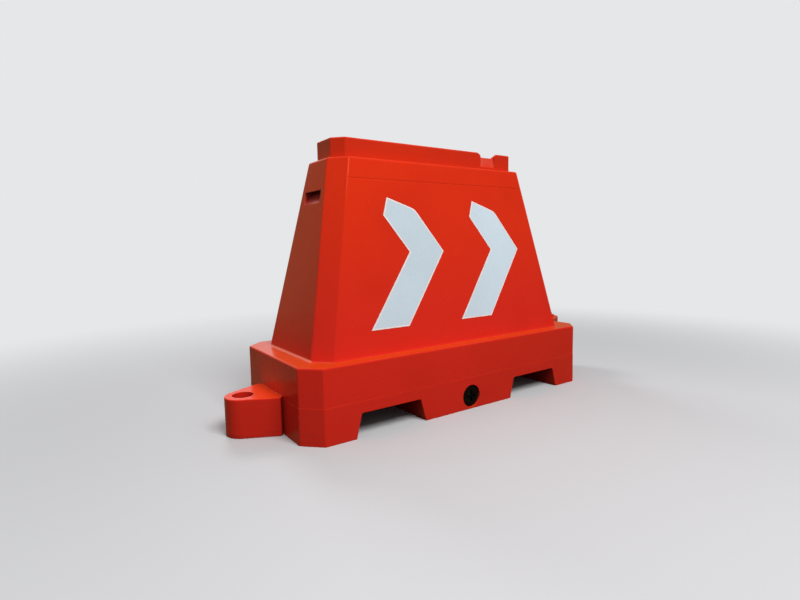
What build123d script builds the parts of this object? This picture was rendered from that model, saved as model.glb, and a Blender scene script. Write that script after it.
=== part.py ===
from build123d import *
import os
from math import acos, atan, atan2, cos, hypot, sin, sqrt

# A hollow moulded plastic traffic barrier that is weighted with water, with chevrons on both faces.
# Millimetres. X runs along the barrier, the front face looks along -Y, and Z is up.
# The origin is on the ground, under the middle of the base.

# Base block, an eight-sided footprint; below its parting line a skirt stands out a little and flares
base_length = 1078.0
base_width = 457.0
base_height = 200.0
base_corner = 48.0
base_edge_radius = 5.0
corner_margin = 2.0
parting_height = 97.0
skirt_lip = 0.4
skirt_flare = 1.3

# Upper body, which leans in towards the shoulder
end_ledge = 54.0
side_ledge = 39.5
body_rise = 543.0
end_lean = 111.0
face_lean = 87.0
body_corner = 44.5
body_edge_radius = 8.0
foot_radius = 8.0

# Rim block on the shoulder, with a shallow tray inside its lip
rim_rise = 57.0
rim_end_setback = 19.0
rim_side_setback = 30.0
rim_corner = 31.0
rim_edge_radius = 4.0
shoulder_share = 0.5
lip_thickness = 9.5
tray_depth = 14.0

# Moulded wall
wall = 5.0

# Forklift pockets under the base
pocket_spacing = 570.0
pocket_shift = -3.5
pocket_width = 192.0
pocket_height = 66.0
pocket_flare = 17.5
pocket_corner_radius = 6.0

# Coupling lugs: the left one lies below the split, the right one above it
lug_reach = 82.0
lug_hole_radius = 28.0
lug_rim = 20.0
lug_width = 176.0
lug_neck_width = 152.0
lug_neck_gap = 11.0
lug_corner_radius = 4.0
lug_root_depth = 30.0
lug_split = 105.0
lug_gap = 1.0
lug_edge_radius = 3.0

# Hand grips, one in each end face: deep under their upper edges and nearly flush at their feet
grip_width = 104.0
grip_height = 35.0
grip_high_depth = 26.0
grip_low_depth = 2.5
grip_middle = 436.5
grip_corner_radius = 4.0

# Moulded line below the shoulder, on both faces
band_drop = 59.5
band_width = 3.0
band_depth = 0.4

# Notch across the rim, which drains the tray, with a sloping apron at each end and the round filler well
notch_offset = 221.0
notch_width = 90.0
notch_floor_width = 44.0
notch_depth = 15.0
apron_width = 64.0
apron_depth = 5.0
apron_foot = 9.0
well_finger_gap = 10.0
cap_sink = 6.0

# Filler: a moulded-in neck, a flat seal and a screw cap with a grip bar
filler_bore_radius = 29.0
neck_wall = 5.0
neck_flange_width = 9.0
neck_flange_thickness = 4.0
neck_anchor_width = 5.0
neck_anchor_thickness = 3.0
neck_length = 18.0
filler_seal_thickness = 3.0
filler_seal_width = 10.0
cap_overhang = 13.0
cap_thickness = 10.0
cap_plug_length = 17.0
cap_plug_wall = 4.0
cap_grooves = 20
cap_groove_radius = 2.5
bar_end_gap = 8.0
bar_width = 14.0
bar_height = 11.0
bar_edge_radius = 2.8

# Drain: a moulded-in bush, a flat seal and a screw plug, low in the middle of the front face
drain_sill = 5.0
drain_recess_gap = 3.5
drain_bore_radius = 18.0
bush_wall = 6.0
bush_flange_width = 6.0
bush_flange_thickness = 4.0
bush_anchor_width = 5.0
bush_anchor_thickness = 3.0
bush_length = 22.0
drain_seal_thickness = 3.0
drain_seal_width = 8.0
plug_overhang = 12.5
plug_thickness = 9.0
plug_sink = 2.0
plug_shank_length = 17.0
plug_grooves = 16
plug_groove_radius = 2.0
plug_slot_length = 37.0
plug_slot_width = 7.0
plug_slot_depth = 4.0

# Chevron sheets, measured in the plane of the leaning face
chevron_pitch = 326.5
chevron_shift = -13.0
chevron_foot_gap = 69.0
chevron_band = 127.0
chevron_lean = 0.735
chevron_drop = 212.5
chevron_inner_rise = 106.5
chevron_outer_rise = 126.0
chevron_crest_rise = 158.0
chevron_crest_back = 187.0
chevron_crown_radius = 42.0
chevron_recess = 1.0
chevron_thickness = 1.6

# Coupling pin: a galvanised tube with a welded collar and handle, and a plastic plug in each end
pin_clearance = 3.85
pin_tube_wall = 3.2
pin_ground_gap = 9.0
pin_stand_out = 11.0
collar_seat = 6.0
collar_thickness = 6.0
collar_edge_radius = 0.8
handle_turn = 55.0
handle_rod_radius = 4.0
handle_rise = 36.0
handle_bend_radius = 14.0
end_plug_rim = 5.0
end_plug_depth = 20.0
end_plug_edge_radius = 1.6

# Fits
seat_clearance = 0.1
thread_clearance = 0.3
sheet_clearance = 0.5
weld_gap = 0.05

# Sizes worked out from those above
body_foot_length = base_length - 2 * end_ledge
body_foot_width = base_width - 2 * side_ledge
shoulder_height = base_height + body_rise
rim_length = body_foot_length - 2 * end_lean - 2 * rim_end_setback
rim_width = body_foot_width - 2 * face_lean - 2 * rim_side_setback
rim_height = shoulder_height + rim_rise
tray_floor = rim_height - tray_depth
base_corner_radius = base_edge_radius + corner_margin
shoulder_radius = shoulder_share * rim_end_setback
rim_corner_radius = rim_edge_radius + corner_margin
end_tilt = atan(end_lean / body_rise)
face_tilt = atan(face_lean / body_rise)
lug_hole_place = base_length / 2 + lug_reach
lug_nose_radius = lug_hole_radius + lug_rim
neck_radius = filler_bore_radius + neck_wall
cap_radius = filler_bore_radius + cap_overhang
well_radius = cap_radius + well_finger_gap
cap_seat = rim_height - cap_sink - bar_height - cap_thickness
neck_top = cap_seat - filler_seal_thickness
well_floor = neck_top - neck_flange_thickness
bush_radius = drain_bore_radius + bush_wall
plug_radius = drain_bore_radius + plug_overhang
drain_recess_radius = plug_radius + drain_recess_gap
drain_height = drain_recess_radius + drain_sill
plug_seat = plug_sink + plug_thickness - base_width / 2
bush_face = plug_seat + drain_seal_thickness
drain_face = bush_face + bush_flange_thickness
chevron_tip_height = chevron_foot_gap + chevron_drop
pin_radius = lug_hole_radius - pin_clearance
collar_radius = lug_hole_radius + collar_seat

# How far a cut runs past the surface that it opens
past = 10.0

# How closely an edge has to lie where it is looked for
tolerance = 0.01


# Plain forms

def octagon(length, width, corner, inset=0.0):
    """The corners of a rectangle with 45 degree corners, drawn smaller by an even inset."""
    a = length / 2 - inset
    b = width / 2 - inset
    c = corner - inset * (2 - sqrt(2))
    return [
        (a, c - b), (a, b - c), (a - c, b), (c - a, b),
        (-a, b - c), (-a, c - b), (c - a, -b), (a - c, -b)]


def prism(corners, low, high):
    """The upright block on one outline."""
    return Pos(Z=low) * extrude(Polygon(*corners, align=None), high - low)


def between(low_corners, low, high_corners, high):
    """The flat-sided solid between two level outlines with the same number of corners."""
    foot = [Vector(x, y, low) for x, y in low_corners]
    top = [Vector(x, y, high) for x, y in high_corners]
    rings = [foot, top]
    for i in range(len(foot)):
        rings.append([foot[i - 1], foot[i], top[i], top[i - 1]])
    return Part() + Solid(Shell([Face(Wire.make_polygon(ring, close=True)) for ring in rings]))


def cylinder_up(radius, low, high, x=0.0):
    """An upright cylinder between two heights."""
    return Pos(x, 0, low) * extrude(Circle(radius), high - low)


def tube_up(outer, inner, low, high, x=0.0):
    """An upright ring between two heights."""
    return Pos(x, 0, low) * extrude(Circle(outer) - Circle(inner), high - low)


def upright_edges(solid):
    """The edges of a solid that rise, such as its corners."""
    return solid.edges().filter_by(lambda e: abs((e @ 1 - e @ 0).Z) > tolerance)


def level_edges(solid, height):
    """The edges of a solid that lie at one height."""
    return solid.edges().filter_by(
        lambda e: max(abs((e @ 0).Z - height), abs((e @ 1).Z - height)) < tolerance)


def rounded_block(solid, corner_radius, top_height, top_radius):
    """A block with its upright edges rounded, then the edges of its top."""
    solid = fillet(upright_edges(solid), corner_radius)
    return fillet(level_edges(solid, top_height), top_radius)


def scalloped_disc(radius, thickness, grooves, groove_radius):
    """A disc with finger grooves around its rim."""
    outline = Circle(radius)
    outline -= PolarLocations(radius, grooves) * Circle(groove_radius)
    return extrude(outline, thickness)


# Body shell

def body_size(height):
    """The upper body's length and width at a height, along its leaning faces."""
    share = (height - base_height) / body_rise
    return body_foot_length - 2 * end_lean * share, body_foot_width - 2 * face_lean * share


def base_form():
    """The base block on its flared skirt."""
    block = prism(octagon(base_length, base_width, base_corner), parting_height, base_height)
    block = rounded_block(block, base_corner_radius, base_height, base_edge_radius)
    skirt = between(
        octagon(base_length, base_width, base_corner, -skirt_lip - skirt_flare), 0,
        octagon(base_length, base_width, base_corner, -skirt_lip), parting_height)
    return block + fillet(upright_edges(skirt), base_corner_radius)


def body_form():
    """The leaning upper body, with its foot let into the base."""
    low = base_height - wall
    low_length, low_width = body_size(low)
    top_length, top_width = body_size(shoulder_height)
    form = between(
        octagon(low_length, low_width, body_corner), low,
        octagon(top_length, top_width, body_corner), shoulder_height)
    return rounded_block(form, body_edge_radius, shoulder_height, shoulder_radius)


def rim_form():
    """The rim block, with its foot let into the shoulder and a tray in its top."""
    low = shoulder_height - wall
    form = prism(octagon(rim_length, rim_width, rim_corner), low, rim_height)
    form = rounded_block(form, rim_corner_radius, rim_height, rim_edge_radius)
    tray = octagon(rim_length, rim_width, rim_corner, lip_thickness)
    return form - prism(tray, tray_floor, rim_height + past)


def lug_outline(inset):
    """The plan of the left lug: a neck let into the base, then a taper to a nose around the pin hole."""
    half_width = lug_width / 2
    half_neck = lug_neck_width / 2
    root_x = -base_length / 2
    wide_x = root_x - lug_neck_gap
    back_x = root_x + lug_root_depth
    run = lug_hole_place + wide_x
    swing = atan2(half_width, run) + acos(lug_nose_radius / hypot(half_width, run))
    touch_x = -lug_hole_place + lug_nose_radius * cos(swing)
    touch_y = lug_nose_radius * sin(swing)
    outline = Polyline(
        (touch_x, touch_y), (wide_x, half_width), (root_x, half_neck), (back_x, half_neck),
        (back_x, -half_neck), (root_x, -half_neck), (wide_x, -half_width), (touch_x, -touch_y))
    nose = ThreePointArc(
        (touch_x, -touch_y), (-lug_hole_place - lug_nose_radius, 0), (touch_x, touch_y))
    plan = make_face(outline + nose)
    plan = fillet(plan.vertices().sort_by(lambda v: abs(v.Y))[-2:], lug_corner_radius)
    return offset(plan, -inset, kind=Kind.INTERSECTION) if inset else plan


def lug_form(inset, edge_radius):
    """Both lugs, smaller by an inset on every side, with their top edges rounded."""
    heights = [(lug_gap, lug_split), (lug_split + lug_gap, base_height)]
    turns = [0, 180]
    lugs = Part()
    for (low, high), turn in zip(heights, turns):
        lug = Pos(Z=low + inset) * extrude(lug_outline(inset), high - low - 2 * inset)
        if edge_radius:
            nose_edges = level_edges(lug, high).filter_by(lambda e: e.center().X < -base_length / 2)
            lug = fillet(nose_edges, edge_radius)
        lugs += Rot(Z=turn) * lug
    return lugs


def lug_holes(grow):
    """The pin holes through both lugs."""
    hole = cylinder_up(lug_hole_radius + grow, -past, base_height + past, lug_hole_place)
    return hole + Rot(Z=180) * hole


def pocket_cuts(grow):
    """The two forklift pockets, wider at the ground than at their roofs."""
    slope = pocket_flare / pocket_height
    half_roof = pocket_width / 2 + grow
    roof = pocket_height + grow
    half_foot = half_roof + slope * (roof + past)
    profile = Polygon(
        (-half_foot, -past), (half_foot, -past), (half_roof, roof), (-half_roof, roof), align=None)
    profile = fillet(profile.vertices().group_by(Axis.Y)[-1], pocket_corner_radius + grow)
    pocket = extrude(Plane.XZ * profile, base_width, both=True)
    places = [pocket_shift - pocket_spacing / 2, pocket_shift + pocket_spacing / 2]
    return Pos(X=places[0]) * pocket + Pos(X=places[1]) * pocket


def grip_back(height, grow):
    """How far out a grip's sloping back lies at a height, moved in by a growth along its normal."""
    low = base_height + grip_middle - grip_height / 2
    high = low + grip_height
    low_x = body_size(low)[0] / 2 - grip_low_depth
    high_x = body_size(high)[0] / 2 - grip_high_depth
    slope = (high_x - low_x) / grip_height
    return low_x + slope * (height - low) - grow * hypot(1, slope)


def grip_cuts(grow):
    """The hand-grip recesses in both end faces, each with a sloping back."""
    middle = base_height + grip_middle
    low = middle - grip_height / 2 - grow
    high = middle + grip_height / 2 + grow
    front = body_size(low)[0] / 2 + past
    mouth = RectangleRounded(
        grip_width + 2 * grow, grip_height + 2 * grow, grip_corner_radius + grow)
    grip = Pos(Z=middle) * extrude(Plane.YZ * mouth, front)
    wedge = Polygon(
        (grip_back(low, grow), low), (front, low), (front, high), (grip_back(high, grow), high), align=None)
    grip &= extrude(Plane.XZ * wedge, grip_width, both=True)
    return grip + Rot(Z=180) * grip


def notch_cut(grow):
    """The notch across the rim, with sloping sides."""
    slope = (notch_width - notch_floor_width) / 2 / notch_depth
    half_floor = notch_floor_width / 2 + grow
    floor = rim_height - notch_depth - grow
    half_top = half_floor + slope * (rim_height + past - floor)
    profile = Polygon(
        (-half_floor, floor), (half_floor, floor),
        (half_top, rim_height + past), (-half_top, rim_height + past), align=None)
    return Pos(X=notch_offset) * extrude(Plane.XZ * profile, base_width, both=True)


def apron_cuts(grow):
    """The sloping aprons that lead from the rim's faces up to the notch's floor."""
    foot = shoulder_height + apron_foot
    slope = apron_depth / (rim_height - notch_depth - foot)
    foot_y = rim_width / 2 - grow * hypot(1, slope)
    outer_y = rim_width / 2 + past
    low = foot - grow
    top = rim_height + past
    front = [
        (foot_y + slope * (foot - low), low), (outer_y, low),
        (outer_y, top), (foot_y - slope * (top - foot), top)]
    profile = Polygon(*front, align=None)
    profile += mirror(profile, Plane.YZ)
    return Pos(X=notch_offset) * extrude(Plane.YZ * profile, apron_width / 2 + grow, both=True)


def well_cut(grow):
    """The round filler well."""
    return cylinder_up(well_radius + grow, well_floor - grow, rim_height + past, notch_offset)


def facing_front(solid, y):
    """Turns a solid built upwards so that it points out of the front face, with its foot at a depth."""
    return Pos(0, y, drain_height) * Rot(X=90) * solid


def drain_recess_cut(grow):
    """The round recess around the drain plug."""
    depth = drain_face + base_width / 2 + grow + past
    return facing_front(extrude(Circle(drain_recess_radius + grow), depth), drain_face + grow)


def all_cuts(grow):
    """Every recess of the shell, larger by the wall where it stands inside the hollow."""
    return [
        lug_holes(grow), pocket_cuts(grow), grip_cuts(grow),
        notch_cut(grow), apron_cuts(grow), well_cut(grow), drain_recess_cut(grow)]


def hollow_form():
    """The ballast chamber inside the shell."""
    chamber = between(
        octagon(base_length, base_width, base_corner, wall - skirt_lip - skirt_flare), wall,
        octagon(base_length, base_width, base_corner, wall - skirt_lip), parting_height)
    block = octagon(base_length, base_width, base_corner, wall)
    chamber += prism(block, parting_height, base_height - wall)
    low = base_height - 2 * wall
    high = shoulder_height - wall
    side_inset = wall / cos(face_tilt)
    end_inset = wall / cos(end_tilt)
    rings = []
    for height in (low, high):
        length, width = body_size(height)
        rings.append(octagon(length - 2 * end_inset, width - 2 * side_inset, body_corner))
    chamber += between(rings[0], low, rings[1], high)
    rim = octagon(rim_length, rim_width, rim_corner, wall)
    chamber += prism(rim, shoulder_height - 2 * wall, tray_floor - wall)
    chamber += lug_form(wall, 0)
    return chamber


def face_plane():
    """The front face's own plane: its foot line is v = 0, and it looks outwards."""
    return Plane(
        origin=(0, -body_foot_width / 2, base_height),
        x_dir=(1, 0, 0), z_dir=(0, -cos(face_tilt), sin(face_tilt)))


def chevron_outline(tip_x):
    """One chevron in the face's plane, pointing along +X, with a full lower limb and a cut upper one."""
    low = -chevron_drop
    crown_corner = (-chevron_outer_rise * chevron_lean, chevron_outer_rise)
    outline = Polygon(
        (0, 0),
        crown_corner,
        (-chevron_crest_back, chevron_crest_rise),
        (-chevron_band - chevron_inner_rise * chevron_lean, chevron_inner_rise),
        (-chevron_band, 0),
        (low * chevron_lean - chevron_band, low),
        (low * chevron_lean, low), align=None)
    crown = outline.vertices().sort_by_distance((*crown_corner, 0))[0]
    outline = fillet(crown, chevron_crown_radius)
    return Pos(tip_x, chevron_tip_height) * outline


def chevron_tips():
    """The places of the two chevron tips along the face."""
    reach = chevron_drop * chevron_lean + chevron_band
    middle = chevron_shift + reach / 2
    return [middle - chevron_pitch / 2, middle + chevron_pitch / 2]


def chevron_recesses():
    """The shallow recesses that hold the front chevrons."""
    cuts = Part()
    for tip_x in chevron_tips():
        outline = offset(chevron_outline(tip_x), sheet_clearance)
        cuts += Pos(0, 0, -chevron_recess) * extrude(outline, chevron_recess + past)
    return face_plane() * cuts


def band_groove():
    """The moulded line across the front face, just below the shoulder."""
    up_face = (body_rise - band_drop) / cos(face_tilt)
    length = body_size(shoulder_height - band_drop)[0] - 2 * body_corner
    groove = Pos(0, up_face, 0) * Box(length, band_width, 2 * band_depth)
    return face_plane() * groove


def body_foot_edges(form):
    """The edges where the upper body stands on the base."""
    half_length = body_foot_length / 2 + tolerance
    half_width = body_foot_width / 2 + tolerance
    return level_edges(form, base_height).filter_by(
        lambda e: abs(e.center().X) < half_length and abs(e.center().Y) < half_width)


def insert_holes():
    """The holes that the filler neck and the drain bush are moulded into."""
    neck_hole = cylinder_up(
        neck_radius + seat_clearance, well_floor - wall - past, well_floor + past, notch_offset)
    bush_hole = extrude(Circle(bush_radius + seat_clearance), wall + 2 * past)
    return neck_hole + facing_front(bush_hole, drain_face + wall + past)


def body_shell():
    """The one-piece hollow moulding."""
    form = base_form() + lug_form(0, lug_edge_radius) + body_form()
    form = fillet(body_foot_edges(form), foot_radius) + rim_form()
    hollow = hollow_form()
    for cut, walled in zip(all_cuts(0), all_cuts(wall)):
        form -= cut
        hollow -= walled
    form -= hollow
    form -= insert_holes()
    face_cuts = chevron_recesses() + band_groove()
    form -= face_cuts
    form -= Rot(Z=180) * face_cuts
    return form


# Chevron sheets

def chevron_sheets():
    """The front pair, and the same pair turned round for the rear face."""
    sheets = {}
    for side, tip_x in zip(("left", "right"), chevron_tips()):
        sheet = Pos(0, 0, -chevron_recess) * extrude(chevron_outline(tip_x), chevron_thickness)
        sheet = face_plane() * sheet
        sheets["chevron_front_" + side] = sheet
        sheets["chevron_rear_" + side] = Rot(Z=180) * sheet
    return sheets


# Filler

def filler_neck():
    """The moulded-in neck: a barrel through the well's floor, with a flange above and an anchor below."""
    anchor = well_floor - wall
    stack = [
        (neck_radius + neck_flange_width, well_floor, neck_top),
        (neck_radius, neck_top - neck_length, neck_top),
        (neck_radius + neck_anchor_width, anchor - neck_anchor_thickness, anchor)]
    neck = Part()
    for radius, low, high in stack:
        neck += tube_up(radius, filler_bore_radius, low, high, notch_offset)
    return neck


def filler_seal():
    """The flat ring between the neck and the cap."""
    return tube_up(
        filler_bore_radius + filler_seal_width, filler_bore_radius, neck_top, cap_seat, notch_offset)


def filler_cap():
    """The screw cap: a grooved disc with a grip bar, and a hollow plug that enters the neck."""
    plug_radius_out = filler_bore_radius - thread_clearance
    disc = Pos(notch_offset, 0, cap_seat) * scalloped_disc(
        cap_radius, cap_thickness, cap_grooves, cap_groove_radius)
    plug = tube_up(
        plug_radius_out, plug_radius_out - cap_plug_wall, cap_seat - cap_plug_length, cap_seat, notch_offset)
    bar = extrude(SlotOverall(2 * (cap_radius - bar_end_gap), bar_width), bar_height)
    bar = fillet(level_edges(bar, bar_height), bar_edge_radius)
    return disc + plug + Pos(notch_offset, 0, cap_seat + cap_thickness) * bar


# Drain

def drain_bush():
    """The moulded-in bush: a barrel through the wall, with a flange outside it and an anchor inside."""
    stack = [
        (bush_radius + bush_flange_width, drain_face, bush_flange_thickness),
        (bush_radius, bush_face + bush_length, bush_length),
        (bush_radius + bush_anchor_width, drain_face + wall + bush_anchor_thickness, bush_anchor_thickness)]
    bush = Part()
    for radius, inner_end, length in stack:
        bush += facing_front(extrude(Circle(radius) - Circle(drain_bore_radius), length), inner_end)
    return bush


def drain_seal():
    """The flat ring between the bush and the plug."""
    ring = Circle(drain_bore_radius + drain_seal_width) - Circle(drain_bore_radius)
    return facing_front(extrude(ring, drain_seal_thickness), bush_face)


def drain_plug():
    """The screw plug: a grooved head with a cross slot, on a plain shank."""
    head = scalloped_disc(plug_radius, plug_thickness, plug_grooves, plug_groove_radius)
    slot = Pos(Z=plug_thickness) * Box(plug_slot_length, plug_slot_width, 2 * plug_slot_depth)
    head -= slot
    head -= Rot(Z=90) * slot
    shank = Pos(Z=-plug_shank_length) * extrude(
        Circle(drain_bore_radius - thread_clearance), plug_shank_length)
    return facing_front(head + shank, plug_seat)


# Coupling pin, standing in the right lug

def pin_tube():
    """The pin's tube, from just above the ground to above the collar."""
    low = pin_ground_gap + end_plug_rim
    high = base_height + pin_stand_out
    return tube_up(pin_radius, pin_radius - pin_tube_wall, low, high, lug_hole_place)


def pin_collar():
    """The welded collar that rests on the lug."""
    ring = tube_up(
        collar_radius, pin_radius + weld_gap, base_height, base_height + collar_thickness, lug_hole_place)
    outer = ring.edges().filter_by(GeomType.CIRCLE).sort_by(lambda e: e.radius)[-2:]
    return fillet(outer.sort_by(Axis.Z)[-1], collar_edge_radius)


def pin_handle():
    """The bent rod welded upright on the collar, turned about the pin."""
    low = base_height + collar_thickness
    high = low + handle_rise
    leg = (pin_radius + collar_radius) / 2
    path = FilletPolyline(
        (-leg, 0, low), (-leg, 0, high), (leg, 0, high), (leg, 0, low), radius=handle_bend_radius)
    section = Pos(-leg, 0, low) * Circle(handle_rod_radius)
    return Pos(X=lug_hole_place) * Rot(Z=handle_turn) * sweep(section, path=path)


def pin_plugs():
    """The plastic plugs that close the foot and the top of the tube."""
    bore = pin_radius - pin_tube_wall - seat_clearance
    plug = extrude(Circle(pin_radius), end_plug_rim)
    plug = fillet(level_edges(plug, 0), end_plug_edge_radius)
    plug += Pos(Z=end_plug_rim) * extrude(Circle(bore), end_plug_depth)
    top = base_height + pin_stand_out + end_plug_rim
    return {
        "pin_foot_plug": Pos(lug_hole_place, 0, pin_ground_gap) * plug,
        "pin_top_plug": Pos(lug_hole_place, 0, top) * Rot(X=180) * plug}


def all_parts():
    """Every piece of the barrier by its name."""
    parts = {"body_shell": body_shell()}
    parts.update(chevron_sheets())
    parts["filler_neck"] = filler_neck()
    parts["filler_seal"] = filler_seal()
    parts["filler_cap"] = filler_cap()
    parts["drain_bush"] = drain_bush()
    parts["drain_seal"] = drain_seal()
    parts["drain_plug"] = drain_plug()
    parts["pin_tube"] = pin_tube()
    parts["pin_collar"] = pin_collar()
    parts["pin_handle"] = pin_handle()
    parts.update(pin_plugs())
    return parts


def main():
    """Writes one STEP file per piece."""
    os.makedirs("parts", exist_ok=True)
    for name, part in all_parts().items():
        export_step(part, "parts/" + name + ".step")
        print(name, round(part.volume / 1000, 1), "cm3")


main()
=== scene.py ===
"""Dresses the chevron traffic barrier: its finishes, sheets, screw threads, welds, light and camera."""

import logging
import math
from dataclasses import dataclass
from enum import Enum
from functools import cached_property, reduce
from typing import Callable, Mapping, Optional, Sequence, Union

import bmesh
import bpy
from mathutils import Matrix, Vector


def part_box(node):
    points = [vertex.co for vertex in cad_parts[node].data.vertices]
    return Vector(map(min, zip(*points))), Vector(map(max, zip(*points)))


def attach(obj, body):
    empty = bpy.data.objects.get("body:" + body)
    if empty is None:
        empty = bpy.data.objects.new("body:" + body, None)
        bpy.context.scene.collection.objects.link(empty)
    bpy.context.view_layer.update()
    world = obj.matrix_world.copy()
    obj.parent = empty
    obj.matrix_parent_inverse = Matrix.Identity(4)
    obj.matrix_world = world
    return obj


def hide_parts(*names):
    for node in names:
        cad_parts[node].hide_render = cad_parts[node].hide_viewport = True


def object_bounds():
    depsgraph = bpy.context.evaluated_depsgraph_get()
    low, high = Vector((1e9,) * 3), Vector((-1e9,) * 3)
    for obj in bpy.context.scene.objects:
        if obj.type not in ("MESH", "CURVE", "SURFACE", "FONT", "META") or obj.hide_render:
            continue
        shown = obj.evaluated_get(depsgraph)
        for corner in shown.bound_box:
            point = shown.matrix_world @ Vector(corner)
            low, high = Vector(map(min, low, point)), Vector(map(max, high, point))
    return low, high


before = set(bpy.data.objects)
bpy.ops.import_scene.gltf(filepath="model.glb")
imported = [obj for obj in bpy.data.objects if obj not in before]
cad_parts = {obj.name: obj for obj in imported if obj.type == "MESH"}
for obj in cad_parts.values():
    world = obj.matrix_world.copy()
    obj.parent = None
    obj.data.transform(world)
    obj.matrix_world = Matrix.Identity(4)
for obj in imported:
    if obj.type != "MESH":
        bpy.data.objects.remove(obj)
cad_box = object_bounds()

log = logging.getLogger("barrier")

Colour = tuple[float, float, float]
Way = tuple[float, float, float]
Reach = tuple[float, float]
Socket = bpy.types.NodeSocket
Amount = Union[float, Socket]
Tint = Union[Colour, Socket]
Inputs = Mapping[Union[str, int], Union[Amount, Tint]]
Surface = Callable[[float, float], Vector]
Node = bpy.types.Node
Material = bpy.types.Material
Piece = bpy.types.Object
WorkMesh = bmesh.types.BMesh
Row = list[bmesh.types.BMVert]

MM = 0.001
FULL_TURN = 2 * math.pi

# Limits of the mesh tools

SHARP_ANGLE = math.radians(35)
ROUNDED_ANGLE = math.radians(40)
SAME_PLANE = math.radians(0.5)
SAME_POINT = 0.002 * MM

# The numbers of a mixing node's sockets for colours

MIX_SHARE = 0
MIX_FIRST = 6
MIX_SECOND = 7
MIX_RESULT = 2

# Where dirt in a hollow starts and is full, by its share of open sky

OPEN_SKY = (0.75, 0.2)

# Heights of the moulding, and the plane of its leaning ends

PARTING_HEIGHT = 0.097
LUG_SPLIT = 0.105
BASE_HEIGHT = 0.200
SHOULDER_HEIGHT = 0.743
END_PLANE = 0.52588
END_SLOPE = 0.20442


class Body(Enum):
    """The bodies that new pieces ride on."""

    SHELL = "shell"
    FILLER_TOP = "filler_top"
    DRAIN_HEAD = "drain_head"
    PIN = "pin"


class Slot(Enum):
    """The record's material slots of new pieces."""

    SHEET = "reflective_sheet"
    FITTING = "fitting_plastic"
    COATED = "coated_steel"


class Step(Enum):
    """The mathematical steps that the finishes use."""

    ADD = "ADD"
    MULTIPLY = "MULTIPLY"
    SMALLER = "MINIMUM"
    LARGER = "MAXIMUM"
    FOLD = "PINGPONG"


class VectorStep(Enum):
    """The steps on vectors that the finishes use."""

    UNSIGNED = "ABSOLUTE"
    AGREEMENT = "DOT_PRODUCT"
    LENGTH = "LENGTH"


def linear(code: str) -> Colour:
    """Turns a screen colour of six hexadecimal digits into the linear one that shaders use."""
    parts = (int(code[i:i + 2], 16) / 255 for i in (0, 2, 4))
    return tuple(c / 12.92 if c <= 0.04045 else ((c + 0.055) / 1.055) ** 2.4 for c in parts)


def within(low: float, high: float, blur: float) -> tuple[Reach, Reach]:
    """The two reaches of a stretch that runs out over a blur at each end."""
    return (low - blur, low), (high + blur, high)


@dataclass(frozen=True)
class Patches:
    """Cloudy patches: size, finer layers, where they start and are full, what that becomes, and a stretch."""

    size: float
    layers: float
    reach: Reach = (0.3, 0.7)
    to: Reach = (0.0, 1.0)
    stretch: Optional[Way] = None


@dataclass(frozen=True)
class Relief:
    """The fine unevenness of a surface: its size in metres, its finer layers and its depth in metres."""

    size: float
    layers: float
    depth: float


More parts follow.
